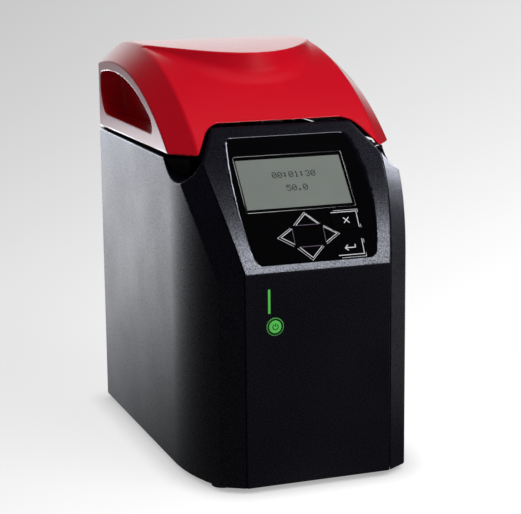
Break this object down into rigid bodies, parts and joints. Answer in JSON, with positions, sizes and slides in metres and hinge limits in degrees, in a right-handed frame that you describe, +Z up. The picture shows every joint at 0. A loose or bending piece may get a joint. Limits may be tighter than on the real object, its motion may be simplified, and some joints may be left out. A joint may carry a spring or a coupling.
{
  "type": "analytical lab mill",
  "caption": "Bench mill with a black faceted body, a curved console with display and arrow keys, and a hinged red lid over a wobbling sample-tube holder.",
  "frame": {"origin": "middle of the bounding box at the bottom of the feet", "axes": "+X to the right seen from the front, +Y to the rear, +Z up; the console faces -Y"},
  "size_m": [0.21, 0.3384, 0.3712],
  "materials": {
    "red_gloss": "high gloss lacquer",
    "black_paint": "fine-textured paint",
    "console_plastic": "fine grain",
    "fascia": "polished",
    "display": "satin, grey-green",
    "key_plastic": "satin",
    "green_plastic": "translucent",
    "rubber": "matte",
    "steel": "brushed",
    "aluminium": "machined",
    "liner_plastic": "fine grain",
    "holder_plastic": "machined plastic",
    "black_plastic": "moulded",
    "board": "solder mask",
    "copper": "lacquered windings",
    "magnet": "nickel plated",
    "red_plastic": "moulded"
  },
  "bodies": {
    "base": {"base_plate": "steel", "bearing_housing": "aluminium", "chamber_bowl": "steel", "chassis_pillars": "steel", "deck_screws": "steel", "display_module": "board", "display_window": "display", "fan_frame": "black_plastic", "fascia_glass": "fascia", "foot_screws": "steel", "front_panel": "console_plastic", "hinge_brackets": "steel", "housing": "black_paint", "isolators": "rubber", "keypad_board": "board", "latch_unit": "black_plastic", "lid_switch": "black_plastic", "magnet_posts": "aluminium", "main_board": "board", "mains_inlet": "black_plastic", "motor_can": "steel", "motor_plate": "aluminium", "motor_stator": "copper", "post_magnets": "magnet", "power_ring": "black_plastic", "power_supply": "steel", "power_switch": "black_plastic", "rear_panel": "black_paint", "rear_screws": "steel", "rim_seals": "rubber", "rubber_feet": "rubber", "shaft_bearings": "steel", "shaft_seal": "rubber", "status_light_bar": "green_plastic", "top_deck": "aluminium"},
    "lid": {"lid_shell": "red_gloss", "lid_liner": "liner_plastic", "hinge_leaves": "steel", "hinge_pins": "steel", "latch_hook": "steel"},
    "drive": {"motor_rotor": "steel", "drive_shaft": "steel", "skew_hub": "aluminium", "hub_bearing_inner": "steel"},
    "wobble_carrier": {"carrier": "aluminium", "carrier_magnets": "magnet", "hub_bearing_outer": "steel", "bearing_balls": "steel"},
    "holder": {"sample_holder": "holder_plastic"},
    "knob": {"clamp_knob": "black_plastic"},
    "fan": {"fan_rotor": "black_plastic"},
    "rocker": {"mains_rocker": "red_plastic"},
    "drawer": {"fuse_drawer": "black_plastic"},
    "power_key": {"power_button": "green_plastic"},
    "up_key": {"up_arrow_key": "key_plastic"},
    "down_key": {"down_arrow_key": "key_plastic"},
    "left_key": {"left_arrow_key": "key_plastic"},
    "right_key": {"right_arrow_key": "key_plastic"},
    "upper_key": {"upper_side_key": "key_plastic"},
    "lower_key": {"lower_side_key": "key_plastic"}
  },
  "joints": [
    {"name": "lid_hinge", "type": "hinge", "parent": "base", "child": "lid", "pos_m": [0, 0.1645, 0.285], "axis": [-1, 0, 0], "range_deg": [0, 70]},
    {"name": "drive_spin", "type": "hinge", "parent": "base", "child": "drive", "pos_m": [0, 0.0365, 0.238], "axis": [0, 0, 1], "continuous": true},
    {"name": "carrier_turn", "type": "hinge", "parent": "drive", "child": "wobble_carrier", "pos_m": [0, 0.0365, 0.238], "axis": [0, -0.0698, 0.9976], "continuous": true},
    {"name": "holder_lift", "type": "slide", "parent": "wobble_carrier", "child": "holder", "axis": [0, -0.0698, 0.9976], "range_m": [0, 0.03]},
    {"name": "knob_turn", "type": "hinge", "parent": "holder", "child": "knob", "pos_m": [0, 0.0365, 0.238], "axis": [0, -0.0698, 0.9976], "range_deg": [0, 90]},
    {"name": "fan_spin", "type": "hinge", "parent": "base", "child": "fan", "pos_m": [-0.036, 0.15, 0.155], "axis": [0, 1, 0], "continuous": true},
    {"name": "rocker_tip", "type": "hinge", "parent": "base", "child": "rocker", "pos_m": [0.044, 0.1633, 0.088], "axis": [-1, 0, 0], "range_deg": [0, 16]},
    {"name": "fuse_slide", "type": "slide", "parent": "base", "child": "drawer", "axis": [0, 1, 0], "range_m": [0, 0.01]},
    {"name": "power_press", "type": "slide", "parent": "base", "child": "power_key", "axis": [0, 1, 0], "range_m": [0, 0.001], "stiffness_N_per_m": 600, "springref_m": -0.0005},
    {"name": "up_press", "type": "slide", "parent": "base", "child": "up_key", "axis": [0, 0.8431, -0.5378], "range_m": [0, 0.0006], "stiffness_N_per_m": 800, "springref_m": -0.0004},
    {"name": "down_press", "type": "slide", "parent": "base", "child": "down_key", "axis": [0, 0.8934, -0.4493], "range_m": [0, 0.0006], "stiffness_N_per_m": 800, "springref_m": -0.0004},
    {"name": "left_press", "type": "slide", "parent": "base", "child": "left_key", "axis": [0, 0.8693, -0.4942], "range_m": [0, 0.0006], "stiffness_N_per_m": 800, "springref_m": -0.0004},
    {"name": "right_press", "type": "slide", "parent": "base", "child": "right_key", "axis": [0, 0.8693, -0.4942], "range_m": [0, 0.0006], "stiffness_N_per_m": 800, "springref_m": -0.0004},
    {"name": "upper_press", "type": "slide", "parent": "base", "child": "upper_key", "axis": [0, 0.849, -0.5284], "range_m": [0, 0.0006], "stiffness_N_per_m": 800, "springref_m": -0.0004},
    {"name": "lower_press", "type": "slide", "parent": "base", "child": "lower_key", "axis": [0, 0.8908, -0.4544], "range_m": [0, 0.0006], "stiffness_N_per_m": 800, "springref_m": -0.0004}
  ],
  "couplings": [
    {"joint": "carrier_turn", "follows": "drive_spin", "ratio": -1}
  ]
}
